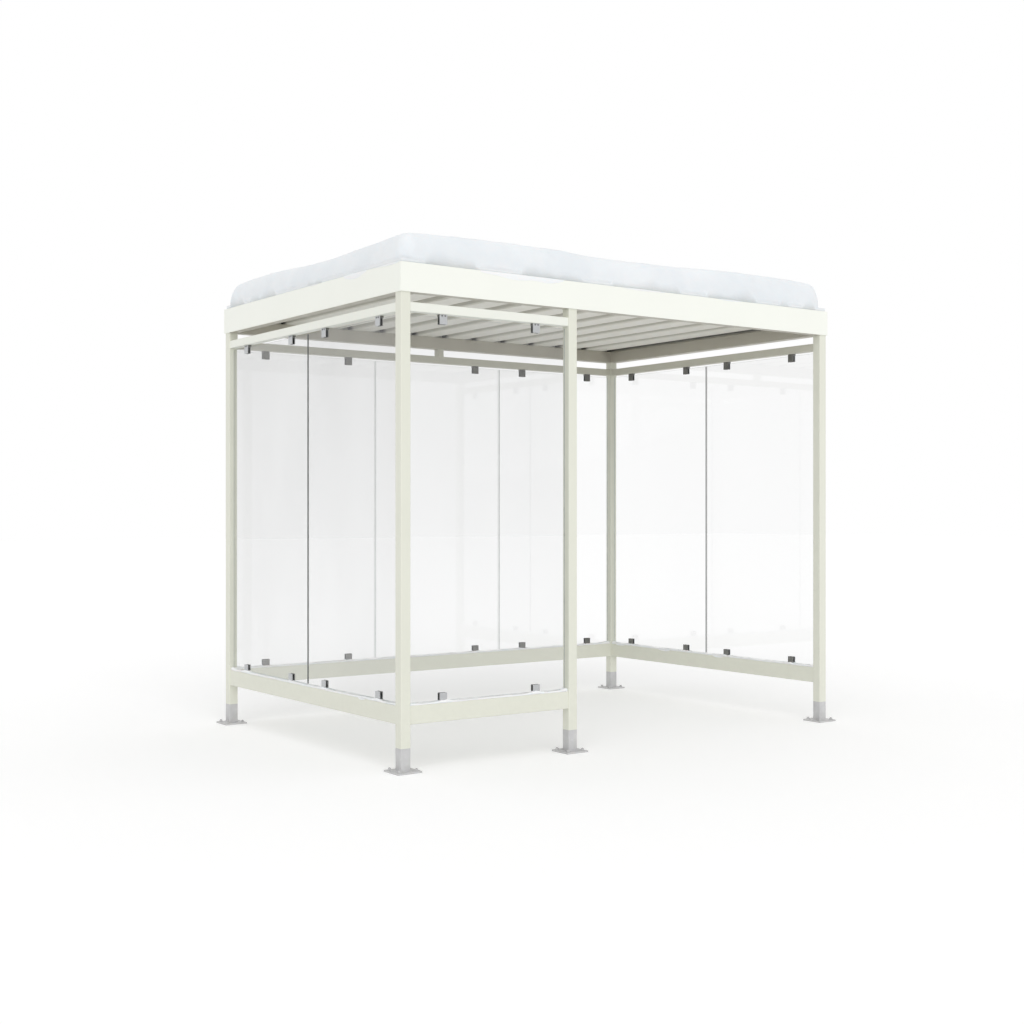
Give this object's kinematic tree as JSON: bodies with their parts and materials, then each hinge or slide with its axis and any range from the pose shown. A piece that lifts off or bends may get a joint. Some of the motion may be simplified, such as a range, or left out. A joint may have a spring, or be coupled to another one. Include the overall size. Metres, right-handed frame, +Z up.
{
  "type": "smoking shelter",
  "caption": "Open-fronted steel and glass smoking shelter with a flat ribbed-deck roof, clamped panes, bolted feet and snow on the roof.",
  "frame": {"origin": "centre of the plan at the underside of the base plates", "axes": "+X along the front to the right, +Y from the front to the back, +Z up"},
  "size_m": [3.38, 2.32, 2.9247],
  "materials": {
    "painted_steel": "satin pale ivory powder coat",
    "coated_deck": "satin off-white coil coating",
    "galvanised_steel": "dull grey galvanised",
    "stainless_steel": "satin stainless",
    "clear_glass": "clear, polished edges",
    "snow": "soft settled snow"
  },
  "bodies": {
    "root": {"foot_front_left": "galvanised_steel", "foot_front_middle": "galvanised_steel", "foot_front_right": "galvanised_steel", "foot_back_left": "galvanised_steel", "foot_back_right": "galvanised_steel", "post_front_left": "painted_steel", "post_front_middle": "painted_steel", "post_front_right": "painted_steel", "post_back_left": "painted_steel", "post_back_right": "painted_steel", "lower_rail_front": "painted_steel", "lower_rail_left": "painted_steel", "lower_rail_right": "painted_steel", "lower_rail_back": "painted_steel", "upper_rail_front": "painted_steel", "upper_rail_left": "painted_steel", "upper_rail_right": "painted_steel", "upper_rail_back": "painted_steel", "back_strut": "painted_steel", "roof_beam_front": "painted_steel", "roof_beam_left": "painted_steel", "roof_beam_right": "painted_steel", "roof_beam_back": "painted_steel", "fascia_front": "painted_steel", "fascia_left": "painted_steel", "fascia_right": "painted_steel", "fascia_back": "painted_steel", "roof_deck": "coated_deck", "roof_snow": "snow", "glass_front": "clear_glass", "glass_left_front": "clear_glass", "glass_left_back": "clear_glass", "glass_right_front": "clear_glass", "glass_right_back": "clear_glass", "glass_back_left": "clear_glass", "glass_back_middle": "clear_glass", "glass_back_right": "clear_glass", "lower_clamps_front": "stainless_steel", "lower_clamps_left": "stainless_steel", "lower_clamps_right": "stainless_steel", "lower_clamps_back": "stainless_steel", "upper_clamps_front": "stainless_steel", "upper_clamps_left": "stainless_steel", "upper_clamps_right": "stainless_steel", "upper_clamps_back": "stainless_steel"}
  },
  "joints": []
}
